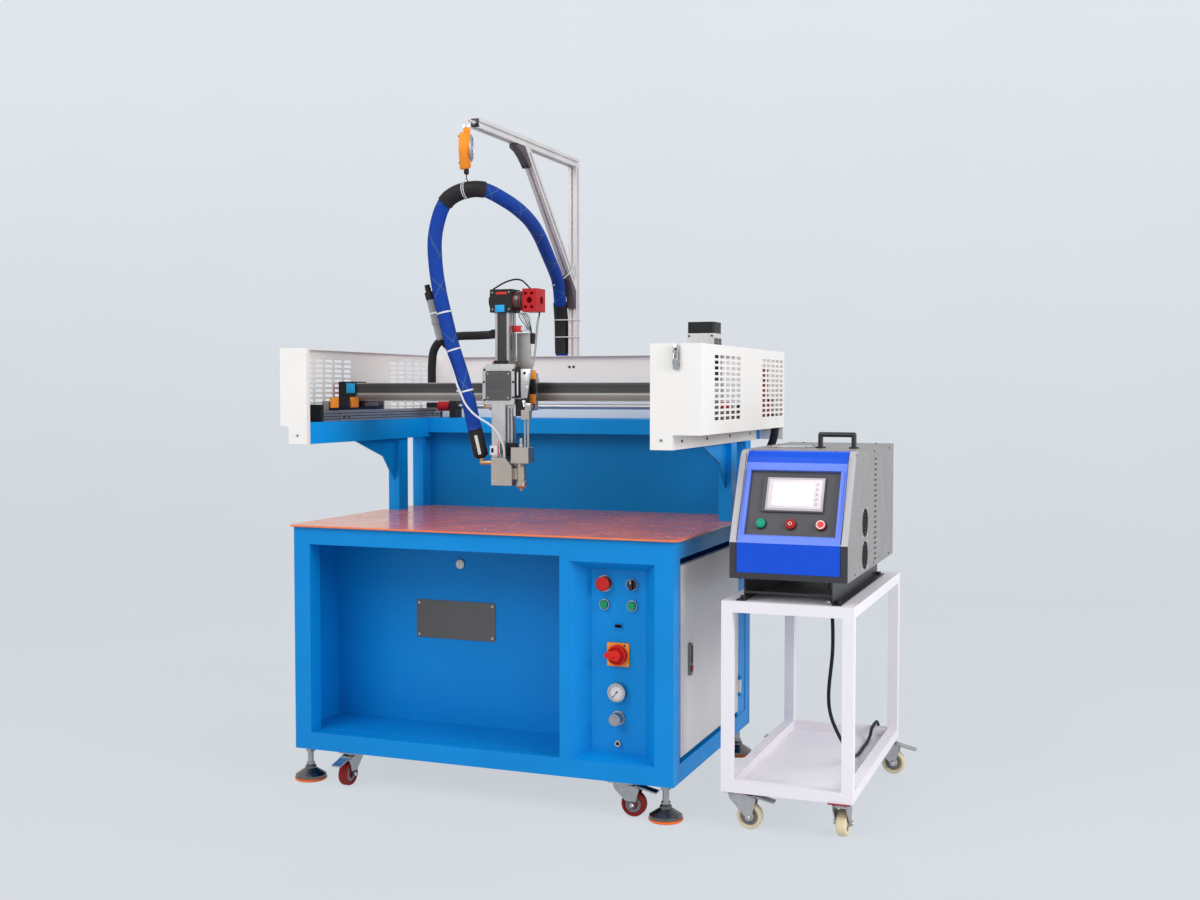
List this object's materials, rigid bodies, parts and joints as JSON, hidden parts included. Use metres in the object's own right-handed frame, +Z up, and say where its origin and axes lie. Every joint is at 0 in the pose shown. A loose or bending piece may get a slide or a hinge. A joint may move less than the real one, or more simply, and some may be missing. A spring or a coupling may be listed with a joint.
{
  "type": "hot melt glue dispensing machine",
  "caption": "Hot melt glue dispensing bench: a three-axis gantry with a glue gun, a heated hose on a spring balancer and a melter on its own trolley.",
  "frame": {"origin": "on the floor under the middle of the machine's outline, cords and hoses left out", "axes": "+X to the operator's right, +Y from the operator towards the rear, +Z up"},
  "size_m": [1.775, 1.094, 1.983],
  "materials": {
    "blue_paint": "satin",
    "white_paint": "satin",
    "orange_table": "gloss",
    "steel": "satin",
    "aluminium": "satin",
    "orange_rubber": "matte",
    "orange_plastic": "gloss",
    "motor_black": "satin",
    "motor_silver": "satin",
    "red_wheel": "gloss",
    "cream_wheel": "satin",
    "blue_hose": "satin",
    "black_hose": "satin",
    "brass": "satin",
    "red_plastic": "gloss",
    "green_plastic": "gloss",
    "black_plastic": "satin",
    "melter_grey": "satin",
    "melter_blue": "gloss",
    "black_paint": "satin"
  },
  "bodies": {
    "bench": {"bench_frame": "blue_paint", "bench_panels": "blue_paint", "control_panel": "blue_paint", "table_top": "orange_table", "back_wall": "blue_paint", "gantry_frame": "blue_paint", "left_cover": "white_paint", "right_cover": "white_paint", "rear_cover": "white_paint", "feet_and_caster_plates": "steel", "foot_pads": "orange_rubber", "panel_fittings": "steel", "hose_stand": "aluminium", "spring_balancer": "orange_plastic", "y_axis_modules": "aluminium", "hose_supply": "blue_hose", "hose_drop": "blue_hose", "hose_link": "black_hose"},
    "door": {"side_door": "white_paint"},
    "cross_shaft": {"y_drive_shaft": "steel"},
    "bridge": {"x_beam": "aluminium", "x_motor": "motor_silver", "cable_chain": "black_hose"},
    "cross_slide": {"z_axis": "aluminium", "z_motor": "motor_black"},
    "head": {"head_plate": "aluminium", "glue_gun": "aluminium", "hose_gun_end": "brass"},
    "estop": {"estop_button": "red_plastic"},
    "selector": {"selector_knob": "black_plastic"},
    "start_left": {"start_button_left": "green_plastic"},
    "start_right": {"start_button_right": "green_plastic"},
    "main_switch_knob": {"main_switch": "red_plastic"},
    "regulator": {"regulator_knob": "aluminium"},
    "trolley": {"trolley_frame": "white_paint", "melter_housing": "melter_grey", "melter_front": "melter_blue", "melter_fittings": "black_paint", "power_cord": "black_hose", "power_cord_coil": "black_hose", "power_plug": "black_plastic"},
    "melter_power": {"melter_power_button": "green_plastic"},
    "melter_stop_left": {"melter_stop_button_left": "red_plastic"},
    "melter_stop_right": {"melter_stop_button_right": "red_plastic"},
    "bench_swivel_fl": {"bench_caster_fl": "steel"},
    "bench_roller_fl": {"bench_wheel_fl": "red_wheel"},
    "bench_swivel_fr": {"bench_caster_fr": "steel"},
    "bench_roller_fr": {"bench_wheel_fr": "red_wheel"},
    "bench_swivel_rl": {"bench_caster_rl": "steel"},
    "bench_roller_rl": {"bench_wheel_rl": "red_wheel"},
    "bench_swivel_rr": {"bench_caster_rr": "steel"},
    "bench_roller_rr": {"bench_wheel_rr": "red_wheel"},
    "trolley_swivel_fl": {"trolley_caster_fl": "steel"},
    "trolley_roller_fl": {"trolley_wheel_fl": "cream_wheel"},
    "trolley_swivel_fr": {"trolley_caster_fr": "steel"},
    "trolley_roller_fr": {"trolley_wheel_fr": "cream_wheel"},
    "trolley_swivel_rl": {"trolley_caster_rl": "steel"},
    "trolley_roller_rl": {"trolley_wheel_rl": "cream_wheel"},
    "trolley_swivel_rr": {"trolley_caster_rr": "steel"},
    "trolley_roller_rr": {"trolley_wheel_rr": "cream_wheel"}
  },
  "joints": [
    {"name": "y_slide", "type": "slide", "parent": "bench", "child": "bridge", "axis": [0, 1, 0], "range_m": [-0.06, 0.33], "deforming": ["hose_drop"]},
    {"name": "x_slide", "type": "slide", "parent": "bridge", "child": "cross_slide", "axis": [1, 0, 0], "range_m": [-0.38, 0.385], "deforming": ["hose_drop", "cable_chain"]},
    {"name": "z_slide", "type": "slide", "parent": "cross_slide", "child": "head", "axis": [0, 0, 1], "range_m": [-0.1, 0.1], "deforming": ["hose_drop"]},
    {"name": "cross_shaft_spin", "type": "hinge", "parent": "bench", "child": "cross_shaft", "pos_m": [-0.2575, 0.3625, 1.1252], "axis": [1, 0, 0], "range_deg": [-220, 1190]},
    {"name": "door_hinge", "type": "hinge", "parent": "bench", "child": "door", "pos_m": [0.3497, 0.2055, 0.4], "axis": [0, 0, 1], "range_deg": [0, 11]},
    {"name": "estop_press", "type": "slide", "parent": "bench", "child": "estop", "axis": [0, 1, 0], "range_m": [0, 0.005], "stiffness_N_per_m": 900},
    {"name": "start_left_press", "type": "slide", "parent": "bench", "child": "start_left", "axis": [0, 1, 0], "range_m": [0, 0.003], "stiffness_N_per_m": 500},
    {"name": "start_right_press", "type": "slide", "parent": "bench", "child": "start_right", "axis": [0, 1, 0], "range_m": [0, 0.003], "stiffness_N_per_m": 500},
    {"name": "selector_turn", "type": "hinge", "parent": "bench", "child": "selector", "pos_m": [0.2035, -0.3975, 0.642], "axis": [0, 1, 0], "range_deg": [-45, 45]},
    {"name": "main_switch_turn", "type": "hinge", "parent": "bench", "child": "main_switch_knob", "pos_m": [0.1625, -0.3975, 0.444], "axis": [0, 1, 0], "range_deg": [-20, 70]},
    {"name": "regulator_turn", "type": "hinge", "parent": "bench", "child": "regulator", "pos_m": [0.1625, -0.4075, 0.266], "axis": [0, 1, 0], "continuous": true},
    {"name": "trolley_roll", "type": "slide", "parent": "bench", "child": "trolley", "axis": [1, 0, 0], "range_m": [0, 0.2], "deforming": ["hose_link"]},
    {"name": "melter_power_press", "type": "slide", "parent": "trolley", "child": "melter_power", "axis": [0, 0.9104, -0.4138], "range_m": [0, 0.003], "stiffness_N_per_m": 500},
    {"name": "melter_stop_left_press", "type": "slide", "parent": "trolley", "child": "melter_stop_left", "axis": [0, 0.9104, -0.4138], "range_m": [0, 0.003], "stiffness_N_per_m": 500},
    {"name": "melter_stop_right_press", "type": "slide", "parent": "trolley", "child": "melter_stop_right", "axis": [0, 0.9104, -0.4138], "range_m": [0, 0.003], "stiffness_N_per_m": 500},
    {"name": "bench_swivel_fl_turn", "type": "hinge", "parent": "bench", "child": "bench_swivel_fl", "pos_m": [-0.6795, -0.4095, 0.06], "axis": [0, 0, 1], "continuous": true},
    {"name": "bench_roller_fl_spin", "type": "hinge", "parent": "bench_swivel_fl", "child": "bench_roller_fl", "pos_m": [-0.6795, -0.4415, 0.038], "axis": [1, 0, 0], "continuous": true},
    {"name": "bench_swivel_fr_turn", "type": "hinge", "parent": "bench", "child": "bench_swivel_fr", "pos_m": [0.1875, -0.4175, 0.06], "axis": [0, 0, 1], "continuous": true},
    {"name": "bench_roller_fr_spin", "type": "hinge", "parent": "bench_swivel_fr", "child": "bench_roller_fr", "pos_m": [0.2195, -0.4175, 0.038], "axis": [0, 1, 0], "continuous": true},
    {"name": "bench_swivel_rl_turn", "type": "hinge", "parent": "bench", "child": "bench_swivel_rl", "pos_m": [-0.7025, 0.3145, 0.06], "axis": [0, 0, 1], "continuous": true},
    {"name": "bench_roller_rl_spin", "type": "hinge", "parent": "bench_swivel_rl", "child": "bench_roller_rl", "pos_m": [-0.7025, 0.3465, 0.038], "axis": [-1, 0, 0], "continuous": true},
    {"name": "bench_swivel_rr_turn", "type": "hinge", "parent": "bench", "child": "bench_swivel_rr", "pos_m": [0.1875, 0.3145, 0.06], "axis": [0, 0, 1], "continuous": true},
    {"name": "bench_roller_rr_spin", "type": "hinge", "parent": "bench_swivel_rr", "child": "bench_roller_rr", "pos_m": [0.1875, 0.3465, 0.038], "axis": [-1, 0, 0], "continuous": true},
    {"name": "trolley_swivel_fl_turn", "type": "hinge", "parent": "trolley", "child": "trolley_swivel_fl", "pos_m": [0.5125, -0.3995, 0.06], "axis": [0, 0, 1], "continuous": true},
    {"name": "trolley_roller_fl_spin", "type": "hinge", "parent": "trolley_swivel_fl", "child": "trolley_roller_fl", "pos_m": [0.5445, -0.3995, 0.0353], "axis": [0, 1, 0], "continuous": true},
    {"name": "trolley_swivel_fr_turn", "type": "hinge", "parent": "trolley", "child": "trolley_swivel_fr", "pos_m": [0.7915, -0.4035, 0.06], "axis": [0, 0, 1], "continuous": true},
    {"name": "trolley_roller_fr_spin", "type": "hinge", "parent": "trolley_swivel_fr", "child": "trolley_roller_fr", "pos_m": [0.7915, -0.3715, 0.0353], "axis": [-1, 0, 0], "continuous": true},
    {"name": "trolley_swivel_rl_turn", "type": "hinge", "parent": "trolley", "child": "trolley_swivel_rl", "pos_m": [0.5125, 0.2845, 0.06], "axis": [0, 0, 1], "continuous": true},
    {"name": "trolley_roller_rl_spin", "type": "hinge", "parent": "trolley_swivel_rl", "child": "trolley_roller_rl", "pos_m": [0.4805, 0.2845, 0.0353], "axis": [0, -1, 0], "continuous": true},
    {"name": "trolley_swivel_rr_turn", "type": "hinge", "parent": "trolley", "child": "trolley_swivel_rr", "pos_m": [0.7875, 0.2845, 0.06], "axis": [0, 0, 1], "continuous": true},
    {"name": "trolley_roller_rr_spin", "type": "hinge", "parent": "trolley_swivel_rr", "child": "trolley_roller_rr", "pos_m": [0.8195, 0.2845, 0.0353], "axis": [0, 1, 0], "continuous": true}
  ],
  "couplings": [
    {"joint": "cross_shaft_spin", "follows": "y_slide", "rad_per_m": 62.8}
  ]
}
